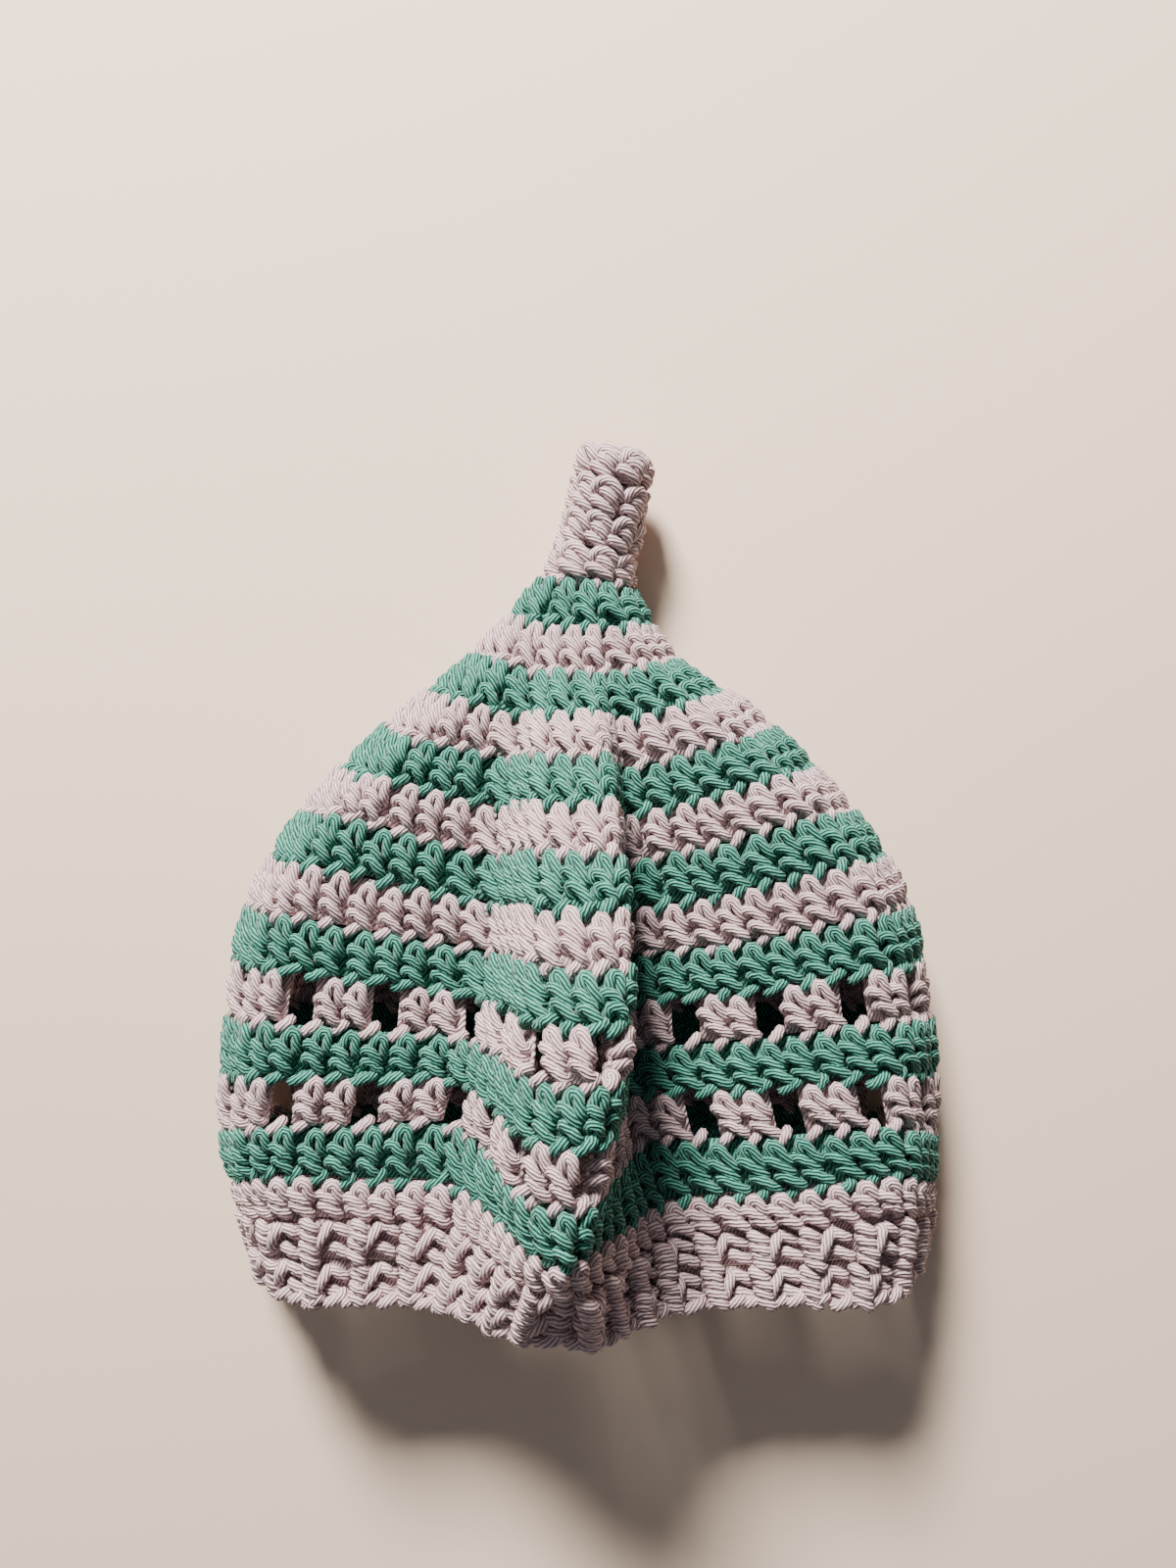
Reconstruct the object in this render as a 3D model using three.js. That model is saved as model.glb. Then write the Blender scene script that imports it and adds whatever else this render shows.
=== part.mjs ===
// A crocheted baby's cap with a stem at its tip, lying on its back with one deep fold down its front.
// X runs across the cap, +Y from the rim to the tip and +Z up from the surface that it lies on.
import * as THREE from "three";

// Driving sizes, in millimetres.
const HALF_WIDTH = 95; // from the middle of the cap to the fold at its side
const PANEL_HEIGHT = 47; // top of the two front panels over the table
const FOLD_RISE = 45; // how far the crest of the front fold stands over the panels
const ROW_HEIGHT = 12; // one round of double crochet
const BRIM_HEIGHT = 30; // three ribbed rounds and their edge
const WALL = 4.6; // thickness of the crocheted cloth
const BRIM_WALL = 6.4; // thickness of the ribbed brim between its grooves
const RIB_DEPTH = 1.4; // a rib stands this far out of the brim, and a groove this far in
const ROUND_DIP = 0.9; // how far the cloth dips between two rounds
const CHAIN_HEIGHT = 3.4; // chain that closes each hole of an openwork round
const STEM_RADIUS = 10.5;
const STEM_FLARE = 2; // how much wider the stem's foot is
const STEM_LENGTH = 35.6;
const STEM_LEAN = THREE.MathUtils.degToRad(14); // the stem leans to the right
const STEM_LIFT = THREE.MathUtils.degToRad(9); // and rises off the table
const SEAM = 0.4; // clearance between two neighbouring rounds

// Counts and shares.
const LYING_SHARE = 0.97; // the cloth lies a little slack, so the cap is shorter than its cloth
const PRESSED = 1; // depth by which the table presses the back of the cloth flat
const STITCHES_IN_REPEAT = 3; // openwork: two stitches, then a hole one stitch wide
const FIRST_STITCH = 0.5; // stitches from the middle of the back to where an openwork round starts
const SAMPLES_PER_RIB = 4;
const STEM_ROUNDS = 4;
const STEM_SIDES = 14;
const STEM_TIP_SHARE = 0.7; // the last round of the stem draws in to this share of its radius
const NORMAL_OFFSETS = [-2, -1, 0, 1, 2]; // steps over which an outward direction is averaged
const NORMAL_REACH = 0.009; // one such step, as a share of the round
const STEPS_PER_POINT = 16; // steps from one point of an outline to the next, to measure its length
const RIB_STEADINESS = 0.75; // 1 keeps the ribs straight down the brim, 0 spaces them evenly at its rim

const YARNS = {
  green: new THREE.MeshStandardMaterial({ color: 0x3f9377, roughness: 0.93, metalness: 0 }),
  grey: new THREE.MeshStandardMaterial({ color: 0xb7a7a9, roughness: 0.93, metalness: 0 }),
};

// The rounds from the rim to the stem. sides is the number of flat faces around a plain round.
const ROUNDS = [
  { name: "brim_ribbed", yarn: "grey", kind: "ribbed", stitches: 72 },
  { name: "round_13_green", yarn: "green", kind: "plain", sides: 60 },
  { name: "round_12_openwork", yarn: "grey", kind: "openwork", stitches: 72 },
  { name: "round_11_green", yarn: "green", kind: "plain", sides: 60 },
  { name: "round_10_openwork", yarn: "grey", kind: "openwork", stitches: 72 },
  { name: "round_09_green", yarn: "green", kind: "plain", sides: 60 },
  { name: "round_08_grey", yarn: "grey", kind: "plain", sides: 60 },
  { name: "round_07_green", yarn: "green", kind: "plain", sides: 60 },
  { name: "round_06_grey", yarn: "grey", kind: "plain", sides: 54 },
  { name: "round_05_green", yarn: "green", kind: "plain", sides: 48 },
  { name: "round_04_grey", yarn: "grey", kind: "plain", sides: 48 },
  { name: "round_03_green", yarn: "green", kind: "plain", sides: 48 },
  { name: "round_02_grey", yarn: "grey", kind: "plain", sides: 48 },
  { name: "round_01_green", yarn: "green", kind: "plain", sides: 48 },
];
const CLOTH_LENGTH = BRIM_HEIGHT + (ROUNDS.length - 1) * ROW_HEIGHT;
const CAP_LENGTH = CLOTH_LENGTH * LYING_SHARE;
const CREST_HEIGHT = PANEL_HEIGHT + FOLD_RISE;

// Sections across the cap, from the rim to the stem. at is the share of the cloth's length.
// Places along the cap: place is the share of the cap's length at the front fold.
// The others are shares of ROW_HEIGHT. The side is ahead of the front fold by lift and the shoulder by ease.
// foot and valley lie behind it, and tilt is how far the left side is ahead of the middle.
const ALONG = [
  { at: 0, place: 0, lift: 0, ease: 0, foot: 0, valley: 0, tilt: 0 },
  { at: 0.161, place: 0.149, lift: -0.62, ease: 0.34, foot: 0.17, valley: -0.17, tilt: 0 },
  { at: 0.226, place: 0.22, lift: -0.42, ease: 0.31, foot: 0.08, valley: -0.3, tilt: 0 },
  { at: 0.355, place: 0.36, lift: 0.12, ease: 0.35, foot: 0.3, valley: 0.06, tilt: 0 },
  { at: 0.484, place: 0.488, lift: 0.66, ease: 0.57, foot: 0.34, valley: 0.2, tilt: 0 },
  { at: 0.613, place: 0.622, lift: 0.68, ease: 0.6, foot: 0.4, valley: 0.25, tilt: 0 },
  { at: 0.742, place: 0.747, lift: 0.7, ease: 0.32, foot: 0.29, valley: 0.09, tilt: 0 },
  { at: 0.871, place: 0.865, lift: 0.45, ease: 0.23, foot: 0, valley: 0, tilt: 0.07 },
  { at: 1, place: 1, lift: 0, ease: 0, foot: 0, valley: 0, tilt: 0.17 },
];

// Places across the cap, as shares of HALF_WIDTH. slide moves the whole section to the right.
// The front fold runs from the valley at its left over its left and crest corners to its foot.
const ACROSS = [
  { at: 0, slide: 0.03, width: 0.947, shoulder: 0.75, valley: -0.4, left: -0.22, crest: 0.02, foot: 0.24 },
  { at: 0.161, slide: 0.014, width: 0.984, shoulder: 0.82, valley: -0.36, left: -0.13, crest: 0, foot: 0.235 },
  { at: 0.226, slide: 0, width: 1, shoulder: 0.83, valley: -0.34, left: -0.14, crest: 0.04, foot: 0.19 },
  { at: 0.355, slide: 0, width: 0.98, shoulder: 0.81, valley: -0.33, left: -0.12, crest: 0.1, foot: 0.14 },
  { at: 0.484, slide: 0, width: 0.921, shoulder: 0.76, valley: -0.26, left: -0.11, crest: 0.12, foot: 0.14 },
  { at: 0.613, slide: 0, width: 0.767, shoulder: 0.62, valley: -0.25, left: -0.115, crest: 0.1, foot: 0.14 },
  { at: 0.742, slide: 0, width: 0.54, shoulder: 0.42, valley: -0.21, left: -0.11, crest: 0.075, foot: 0.13 },
  { at: 0.871, slide: -0.01, width: 0.295, shoulder: 0.19, valley: -0.13, left: -0.06, crest: 0.055, foot: 0.11 },
  { at: 1, slide: 0.026, width: 0.137, shoulder: 0.096, valley: -0.06, left: -0.03, crest: 0.03, foot: 0.06 },
];

// Heights over the table. corner and ridge are shares of CREST_HEIGHT and the others of PANEL_HEIGHT.
const HEIGHTS = [
  { at: 0, base: 0, side: 0.17, panel: 0.94, dip: 1, corner: 0.66, ridge: 0.73 },
  { at: 0.161, base: 0, side: 0.23, panel: 0.98, dip: 0.95, corner: 0.88, ridge: 0.98 },
  { at: 0.226, base: 0, side: 0.3, panel: 1, dip: 0.93, corner: 0.9, ridge: 1 },
  { at: 0.355, base: 0, side: 0.34, panel: 1, dip: 0.89, corner: 0.9, ridge: 0.99 },
  { at: 0.484, base: 0, side: 0.36, panel: 0.98, dip: 0.85, corner: 0.82, ridge: 0.9 },
  { at: 0.613, base: 0, side: 0.36, panel: 0.92, dip: 0.8, corner: 0.68, ridge: 0.75 },
  { at: 0.742, base: 0, side: 0.34, panel: 0.81, dip: 0.75, corner: 0.52, ridge: 0.56 },
  { at: 0.871, base: 0, side: 0.3, panel: 0.62, dip: 0.63, corner: 0.35, ridge: 0.355 },
  { at: 1, base: 0.06, side: 0.27, panel: 0.45, dip: 0.48, corner: 0.255, ridge: 0.262 },
];

// Shares that place the other points of a section between those of the tables.
const BACK_LIFT = 0.1; // share of the side's lift at the middle of the back
const FLAT = { across: 0.62, lift: 0.5 }; // the back is flat out to here
const UNDER = { across: 0.9, up: 0.16, lift: 0.9 }; // and rolls up to the side from here
const HAUNCH = { across: 0.62, up: 0.62, lift: 0.5 }; // from the shoulder out to the side
const RIGHT_PANEL = { across: 0.45, up: 0.62, lift: 0.35 }; // from the foot out to the shoulder
const LEFT_PANEL = { across: 0.5, up: 0.68, lift: 0.5 }; // from the valley out to the shoulder
const RIGHT_WALL = { across: 0.6, up: 0.5 }; // from the foot to the crest
const LEFT_WALL = { across: 0.6, up: 0.5 }; // from the valley to the left corner
const CREST_UP = 0.93; // height of the crest's corner between the dip and the ridge
const RIDGE_ACROSS = 0.3; // from the crest to the left corner, where the ridge is highest
const BROW = { across: 0.72, up: 0.62 }; // and where it bends down to the left corner

const mix = THREE.MathUtils.lerp;

// A column of a table at one share of the cloth's length, on a smooth curve through its values.
function column(table, name, at) {
  const last = table.length - 1;
  let index = 0;
  while (index < last - 1 && at > table[index + 1].at) index += 1;
  const from = table[index];
  const to = table[index + 1];
  const step = to.at - from.at;
  const x = (at - from.at) / step;
  const startSlope = columnSlope(table, name, index) * step;
  const endSlope = columnSlope(table, name, index + 1) * step;
  const rise = to[name] - from[name];
  const square = x * x;
  const smooth = square * (3 - 2 * x);
  return from[name] + rise * smooth + startSlope * x * (1 - x) * (1 - x) - endSlope * square * (1 - x);
}

function columnSlope(table, name, index) {
  const before = table[Math.max(index - 1, 0)];
  const after = table[Math.min(index + 1, table.length - 1)];
  return (after[name] - before[name]) / (after.at - before.at);
}

// All columns of a table at one share of the cloth's length, in millimetres.
function sizesAt(table, at, sizeOf) {
  const sizes = {};
  for (const name of Object.keys(table[0])) {
    if (name !== "at") sizes[name] = column(table, name, at) * sizeOf(name);
  }
  return sizes;
}

// The closed outline of the cap's outer face at one share of the cloth's length.
// It starts at the middle of the back and runs by the right side, the front and the left side.
function sectionCurve(at) {
  const y = sizesAt(ALONG, at, (name) => (name === "place" ? CAP_LENGTH : ROW_HEIGHT));
  const x = sizesAt(ACROSS, at, () => HALF_WIDTH);
  const z = sizesAt(HEIGHTS, at, (name) => (["corner", "ridge"].includes(name) ? CREST_HEIGHT : PANEL_HEIGHT));
  z.base -= PRESSED;
  const point = (across, up, ahead) => new THREE.Vector3(across + x.slide, y.place + ahead, up);
  const sidePoints = (side) => [
    point(side * x.width * FLAT.across, z.base, y.lift * FLAT.lift),
    point(side * x.width * UNDER.across, mix(z.base, z.side, UNDER.up), y.lift * UNDER.lift),
    point(side * x.width, z.side, y.lift),
    point(
      side * mix(x.shoulder, x.width, HAUNCH.across),
      mix(z.side, z.panel, HAUNCH.up),
      mix(y.lift, y.ease, HAUNCH.lift),
    ),
    point(side * x.shoulder, z.panel, y.ease),
  ];
  const points = [
    point(0, z.base, y.lift * BACK_LIFT),
    ...sidePoints(1),
    point(
      mix(x.foot, x.shoulder, RIGHT_PANEL.across),
      mix(z.dip, z.panel, RIGHT_PANEL.up),
      mix(-y.foot, y.ease, RIGHT_PANEL.lift),
    ),
    point(x.foot, z.dip, -y.foot),
    point(mix(x.foot, x.crest, RIGHT_WALL.across), mix(z.dip, z.ridge, RIGHT_WALL.up), -y.foot * RIGHT_WALL.up),
    point(x.crest, mix(z.dip, z.ridge, CREST_UP), 0),
    point(mix(x.crest, x.left, RIDGE_ACROSS), z.ridge, 0),
    point(mix(x.crest, x.left, BROW.across), mix(z.corner, z.ridge, BROW.up), 0),
    point(x.left, z.corner, 0),
    point(mix(x.valley, x.left, LEFT_WALL.across), mix(z.dip, z.corner, LEFT_WALL.up), -y.valley * LEFT_WALL.up),
    point(x.valley, z.dip, -y.valley),
    point(
      mix(x.valley, -x.shoulder, LEFT_PANEL.across),
      mix(z.dip, z.panel, LEFT_PANEL.up),
      mix(-y.valley, y.ease, LEFT_PANEL.lift),
    ),
    ...sidePoints(-1).reverse(),
  ];
  return new THREE.CatmullRomCurve3(points, true, "centripetal");
}

// Share of an outline's length at each of its points.
function pointShares(curve) {
  const lengths = curve.getLengths(curve.points.length * STEPS_PER_POINT);
  const total = lengths[lengths.length - 1];
  return lengths.filter((_, index) => index % STEPS_PER_POINT === 0).map((length) => length / total);
}

// The place on an outline of a stitch that stands at an even share of the cloth.
// The brim gathers where the front fold sinks towards the rim, so that its ribs don't lean.
function placeOfStitch(share, at) {
  const brimTop = BRIM_HEIGHT / CLOTH_LENGTH;
  if (at >= brimTop) return share;
  const own = pointShares(sectionCurve(at));
  const above = pointShares(sectionCurve(brimTop));
  const held = own.map((value, index) => mix(value, above[index], RIB_STEADINESS));
  const index = Math.max(held.findIndex((value) => value > share) - 1, 0);
  const part = THREE.MathUtils.inverseLerp(held[index], held[index + 1], share);
  return mix(own[index], own[index + 1], part);
}

// How far the cap's left side is ahead at one share of the cloth's length, for each millimetre across.
function tiltAt(at) {
  return (ROW_HEIGHT * column(ALONG, "tilt", at)) / (HALF_WIDTH * column(ACROSS, "width", at));
}

// Points of one round's outline at the given shares, each moved out by its own distance.
function outline(at, shares, outward) {
  const curve = sectionCurve(at);
  const tilt = tiltAt(at);
  const middle = HALF_WIDTH * column(ACROSS, "slide", at);
  const tangent = new THREE.Vector3();
  const normalAt = (share) => {
    const normal = new THREE.Vector3();
    for (const offset of NORMAL_OFFSETS) {
      const place = (share + offset * NORMAL_REACH + 1) % 1;
      curve.getTangentAt(place, tangent);
      normal.x += tangent.z;
      normal.z -= tangent.x;
    }
    return normal.normalize();
  };
  return shares.map((share, index) => {
    const place = placeOfStitch(share, at);
    const point = curve.getPointAt(place);
    point.addScaledVector(normalAt(place), outward(index));
    point.y -= tilt * (point.x - middle);
    point.z = Math.max(point.z, 0);
    return point;
  });
}

// A closed shell round the cap from lines of outer and inner points, with cells left open.
// lines[row] holds { outer, inner }, and isOpen(spot, row) says which cells are holes.
function shell(lines, isOpen) {
  const around = lines[0].outer.length;
  const rows = lines.length - 1;
  const positions = [];
  const quad = (a, b, c, d) => {
    for (const corner of [a, b, c, a, c, d]) positions.push(corner.x, corner.y, corner.z);
  };
  const open = (spot, row) => row < 0 || row >= rows || isOpen((spot + around) % around, row);
  for (let row = 0; row < rows; row += 1) {
    for (let spot = 0; spot < around; spot += 1) {
      if (open(spot, row)) continue;
      const next = (spot + 1) % around;
      const low = lines[row];
      const high = lines[row + 1];
      quad(low.outer[spot], high.outer[spot], high.outer[next], low.outer[next]);
      quad(low.inner[next], high.inner[next], high.inner[spot], low.inner[spot]);
      if (open(spot, row - 1)) quad(low.inner[spot], low.outer[spot], low.outer[next], low.inner[next]);
      if (open(spot, row + 1)) quad(high.outer[next], high.outer[spot], high.inner[spot], high.inner[next]);
      if (open(spot - 1, row)) quad(low.inner[spot], high.inner[spot], high.outer[spot], low.outer[spot]);
      if (open(spot + 1, row)) quad(low.outer[next], high.outer[next], high.inner[next], low.inner[next]);
    }
  }
  return geometryOf(positions);
}

function geometryOf(positions) {
  const geometry = new THREE.BufferGeometry();
  geometry.setAttribute("position", new THREE.Float32BufferAttribute(positions, 3));
  geometry.computeVertexNormals();
  return geometry;
}

function evenShares(count, first = 0) {
  return Array.from({ length: count }, (_, index) => (index + first) / count);
}

// One line of a round, at a distance from the rim, with its outer and inner points.
function roundLine(distance, shares, outer, inner) {
  const at = distance / CLOTH_LENGTH;
  return { outer: outline(at, shares, outer), inner: outline(at, shares, inner) };
}

function plainRound(start, end, { sides }) {
  const shares = evenShares(sides);
  const line = (distance, dip) => roundLine(distance, shares, () => -dip, () => -WALL);
  const lines = [line(start, ROUND_DIP), line((start + end) / 2, 0), line(end, ROUND_DIP)];
  return shell(lines, () => false);
}

// Pairs of stitches with a hole after each pair, closed along the rim's side by a chain.
function openworkRound(start, end, { stitches }) {
  const shares = evenShares(stitches, FIRST_STITCH);
  const line = (distance, dip) => roundLine(distance, shares, () => -dip, () => -WALL);
  const chainTop = start + CHAIN_HEIGHT;
  const lines = [
    line(start, ROUND_DIP),
    line(chainTop, ROUND_DIP / 2),
    line((chainTop + end) / 2, 0),
    line(end, ROUND_DIP),
  ];
  const isHole = (spot) => spot % STITCHES_IN_REPEAT === STITCHES_IN_REPEAT - 1;
  return shell(lines, (spot, row) => row > 0 && isHole(spot));
}

// Two stitches make one rib and the groove beside it, and the brim rolls in a little at its rim.
function ribbedRound(start, end, { stitches }) {
  const shares = evenShares((stitches / 2) * SAMPLES_PER_RIB);
  const wave = (index) => RIB_DEPTH * Math.cos((2 * Math.PI * index) / SAMPLES_PER_RIB);
  const line = (distance, dip) =>
    roundLine(distance, shares, (index) => wave(index) - dip, (index) => wave(index) - BRIM_WALL + dip);
  const lines = [line(start, ROUND_DIP), line((start + end) / 2, 0), line(end, ROUND_DIP)];
  return shell(lines, () => false);
}

const ROUND_KINDS = { plain: plainRound, openwork: openworkRound, ribbed: ribbedRound };

// The stem is a narrow tube of cloth, closed at its tip and open into the cap.
function stem() {
  const top = new THREE.Box3().setFromPoints(sectionCurve(1).getSpacedPoints(STEM_SIDES));
  const middle = HALF_WIDTH * column(ACROSS, "slide", 1);
  const start = new THREE.Vector3(middle, CAP_LENGTH + SEAM, top.getCenter(new THREE.Vector3()).z);
  const lean = new THREE.Vector3(Math.sin(STEM_LEAN), Math.cos(STEM_LEAN), Math.sin(STEM_LIFT)).normalize();
  const foot = new THREE.Vector3(tiltAt(1), 1, 0).normalize();
  const ring = (distance, radius) => {
    const ahead = foot.clone().lerp(lean, Math.min(distance / ROW_HEIGHT, 1)).normalize();
    const across = new THREE.Vector3().crossVectors(ahead, new THREE.Vector3(0, 0, 1)).normalize();
    const up = new THREE.Vector3().crossVectors(across, ahead);
    const centre = start.clone().addScaledVector(ahead, distance);
    return evenShares(STEM_SIDES).map((turn) => {
      const angle = 2 * Math.PI * turn;
      const side = across.clone().multiplyScalar(Math.cos(angle)).addScaledVector(up, Math.sin(angle));
      return centre.clone().addScaledVector(side, radius);
    });
  };
  const roundHeight = STEM_LENGTH / STEM_ROUNDS;
  const flare = (distance) => STEM_FLARE * Math.max(1 - distance / roundHeight, 0);
  const tipRadius = STEM_RADIUS * STEM_TIP_SHARE;
  const rings = [];
  for (let index = 0; index < STEM_ROUNDS; index += 1) {
    const low = index * roundHeight;
    const middle = low + roundHeight / 2;
    rings.push(ring(low, STEM_RADIUS - ROUND_DIP + flare(low)));
    rings.push(ring(middle, STEM_RADIUS + flare(middle)));
  }
  rings.push(ring(STEM_LENGTH - ROUND_DIP, tipRadius));
  rings.push(ring(STEM_LENGTH, 0));
  rings.push(ring(STEM_LENGTH - WALL, 0));
  rings.push(ring(STEM_LENGTH - WALL, tipRadius - ROUND_DIP));
  rings.push(ring(roundHeight, STEM_RADIUS - WALL));
  rings.push(ring(0, STEM_RADIUS - WALL + STEM_FLARE));
  return loopOfRings(rings);
}

// A closed surface through rings, from the last one back to the first. A ring of radius 0 is one point.
function loopOfRings(rings) {
  const positions = [];
  const triangle = (a, b, c) => {
    if (a.distanceTo(b) > 0 && b.distanceTo(c) > 0 && c.distanceTo(a) > 0) {
      for (const corner of [a, b, c]) positions.push(corner.x, corner.y, corner.z);
    }
  };
  rings.forEach((low, index) => {
    const high = rings[(index + 1) % rings.length];
    low.forEach((corner, spot) => {
      const next = (spot + 1) % low.length;
      triangle(corner, high[next], low[next]);
      triangle(corner, high[spot], high[next]);
    });
  });
  return geometryOf(positions);
}

function mesh(name, geometry, yarn) {
  const made = new THREE.Mesh(geometry, YARNS[yarn]);
  made.name = name;
  return made;
}

const cap = new THREE.Group();
ROUNDS.forEach((round, index) => {
  const start = index === 0 ? 0 : BRIM_HEIGHT + (index - 1) * ROW_HEIGHT;
  const end = BRIM_HEIGHT + index * ROW_HEIGHT;
  const low = index === 0 ? start : start + SEAM / 2;
  const made = ROUND_KINDS[round.kind](low, end - SEAM / 2, round);
  cap.add(mesh(round.name, made, round.yarn));
});
cap.add(mesh("stem", stem(), "grey"));

// The origin is on the table, under the middle of the cap.
const reach = new THREE.Box3().setFromObject(cap, true);
cap.position.set(-(reach.min.x + reach.max.x) / 2, -(reach.min.y + reach.max.y) / 2, -reach.min.z);

export default cap;
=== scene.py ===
# A crocheted baby's cap lying on its back: every stitch is yarn laid on the cap's own surface.
import math

import bpy
import numpy as np
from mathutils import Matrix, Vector


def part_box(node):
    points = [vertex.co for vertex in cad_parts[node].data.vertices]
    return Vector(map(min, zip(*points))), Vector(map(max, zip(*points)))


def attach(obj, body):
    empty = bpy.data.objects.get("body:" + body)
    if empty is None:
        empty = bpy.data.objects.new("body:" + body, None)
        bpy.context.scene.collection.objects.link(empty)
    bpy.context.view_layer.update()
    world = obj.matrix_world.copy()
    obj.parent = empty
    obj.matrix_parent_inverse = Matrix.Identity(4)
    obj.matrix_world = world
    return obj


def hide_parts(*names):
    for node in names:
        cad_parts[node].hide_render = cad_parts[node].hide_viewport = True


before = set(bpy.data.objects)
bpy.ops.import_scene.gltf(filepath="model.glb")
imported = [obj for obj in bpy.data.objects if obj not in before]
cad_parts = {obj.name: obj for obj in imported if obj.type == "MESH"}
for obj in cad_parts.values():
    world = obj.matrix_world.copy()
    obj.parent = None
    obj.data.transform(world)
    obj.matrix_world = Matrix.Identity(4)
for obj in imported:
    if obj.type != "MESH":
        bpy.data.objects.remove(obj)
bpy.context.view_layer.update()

MM = 0.001

# Sizes of the cap, in millimetres, as the solids have them.
HALF_WIDTH = 95
PANEL_HEIGHT = 47
FOLD_RISE = 45
CREST_HEIGHT = PANEL_HEIGHT + FOLD_RISE
ROW_HEIGHT = 12
BRIM_HEIGHT = 30
STEM_RADIUS = 10.5
STEM_FLARE = 2
STEM_LENGTH = 35.6
STEM_LEAN = math.radians(14)
STEM_LIFT = math.radians(9)
SEAM = 0.4  # clearance between two neighbouring rounds
LYING_SHARE = 0.97  # the cloth lies a little slack, so the cap is shorter than its cloth
PRESSED = 1  # depth by which the table presses the back of the cloth flat
RIB_STEADINESS = 0.75  # 1 keeps the ribs straight down the brim, 0 spaces them evenly at its rim

# The yarn, in millimetres.
YARN_RADIUS = 1.3
LOOSE_YARN_RADIUS = 1.42  # in the stem and the brim, which are less tightly worked
LAY_LENGTH = 13  # one full twist of the yarn
PLIES = 8
YARN_MAP = "yarn"  # the UV map, by twists along a strand and turns round it
LYING_HEIGHT = 0.75 * YARN_RADIUS  # the lowest middle of a strand, where the table presses it flat
LOWEST = 0.02  # no point of the yarn is nearer to the table

# A strand is a closed tube of this many sides and steps. Where it is deeper in the cloth than
# HIDDEN_BELOW it hardly shows, and its length counts less there, which makes the steps longer.
YARN_SIDES = 7
STRAND_STEPS = 16
HIDDEN_BELOW = -2.8
HIDDEN_WEIGHT = 0.5

# The rounds from the rim up: the node, its yarn, its stitches, how it is worked, and by how many
# stitches it is turned round the cap.
ROUNDS = [
    ("round_13_green", "green", 72, "plain", 0.15),
    ("round_12_openwork", "grey", 72, "openwork", 0.5),
    ("round_11_green", "green", 72, "plain", 0.7),
    ("round_10_openwork", "grey", 72, "openwork", 0.5),
    ("round_09_green", "green", 70, "plain", 0.2),
    ("round_08_grey", "grey", 66, "plain", 0.6),
    ("round_07_green", "green", 60, "plain", 0.35),
    ("round_06_grey", "grey", 54, "plain", 0.8),
    ("round_05_green", "green", 47, "plain", 0.1),
    ("round_04_grey", "grey", 38, "plain", 0.5),
    ("round_03_green", "green", 30, "plain", 0.25),
    ("round_02_grey", "grey", 22, "plain", 0.7),
    ("round_01_green", "green", 14, "plain", 0.4),
]
STITCHES_IN_REPEAT = 3  # of the openwork: two stitches and a hole

BRIM_NODE = "brim_ribbed"
BRIM_STITCHES = 72
BRIM_TURN = -0.5
BRIM_ROWS = 3
BRIM_ROW_HEIGHT = BRIM_HEIGHT / BRIM_ROWS
RIM_LINKS = 84

STEM_NODE = "stem"
STEM_STITCHES = 8
STEM_TURNS = (0.1, 0.55, 0.3, 0.8)  # one for each of its rounds
STEM_ROW_HEIGHT = STEM_LENGTH / len(STEM_TURNS)
TIP_STITCHES = 4
TIP_CORNER = 5  # the radius that rounds the tip

CLOTH_LENGTH = BRIM_HEIGHT + len(ROUNDS) * ROW_HEIGHT
CAP_LENGTH = CLOTH_LENGTH * LYING_SHARE


def table(names, rows):
    """The columns of rows by name."""
    return {name: np.array(values, float) for name, values in zip(names.split(), zip(*rows))}


# Sections of the cap from the rim to the stem, with the shares that the solids use.
# Along the cap: place is a share of the cap's length and the others are shares of a round's height.
ALONG = table("at place lift ease foot valley tilt", [
    (0, 0, 0, 0, 0, 0, 0),
    (0.161, 0.149, -0.62, 0.34, 0.17, -0.17, 0),
    (0.226, 0.22, -0.42, 0.31, 0.08, -0.3, 0),
    (0.355, 0.36, 0.12, 0.35, 0.3, 0.06, 0),
    (0.484, 0.488, 0.66, 0.57, 0.34, 0.2, 0),
    (0.613, 0.622, 0.68, 0.6, 0.4, 0.25, 0),
    (0.742, 0.747, 0.7, 0.32, 0.29, 0.09, 0),
    (0.871, 0.865, 0.45, 0.23, 0, 0, 0.07),
    (1, 1, 0, 0, 0, 0, 0.17),
])
# Across the cap, as shares of its half width.
ACROSS = table("at slide width shoulder valley left crest foot", [
    (0, 0.03, 0.947, 0.75, -0.4, -0.22, 0.02, 0.24),
    (0.161, 0.014, 0.984, 0.82, -0.36, -0.13, 0, 0.235),
    (0.226, 0, 1, 0.83, -0.34, -0.14, 0.04, 0.19),
    (0.355, 0, 0.98, 0.81, -0.33, -0.12, 0.1, 0.14),
    (0.484, 0, 0.921, 0.76, -0.26, -0.11, 0.12, 0.14),
    (0.613, 0, 0.767, 0.62, -0.25, -0.115, 0.1, 0.14),
    (0.742, 0, 0.54, 0.42, -0.21, -0.11, 0.075, 0.13),
    (0.871, -0.01, 0.295, 0.19, -0.13, -0.06, 0.055, 0.11),
    (1, 0.026, 0.137, 0.096, -0.06, -0.03, 0.03, 0.06),
])
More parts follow.
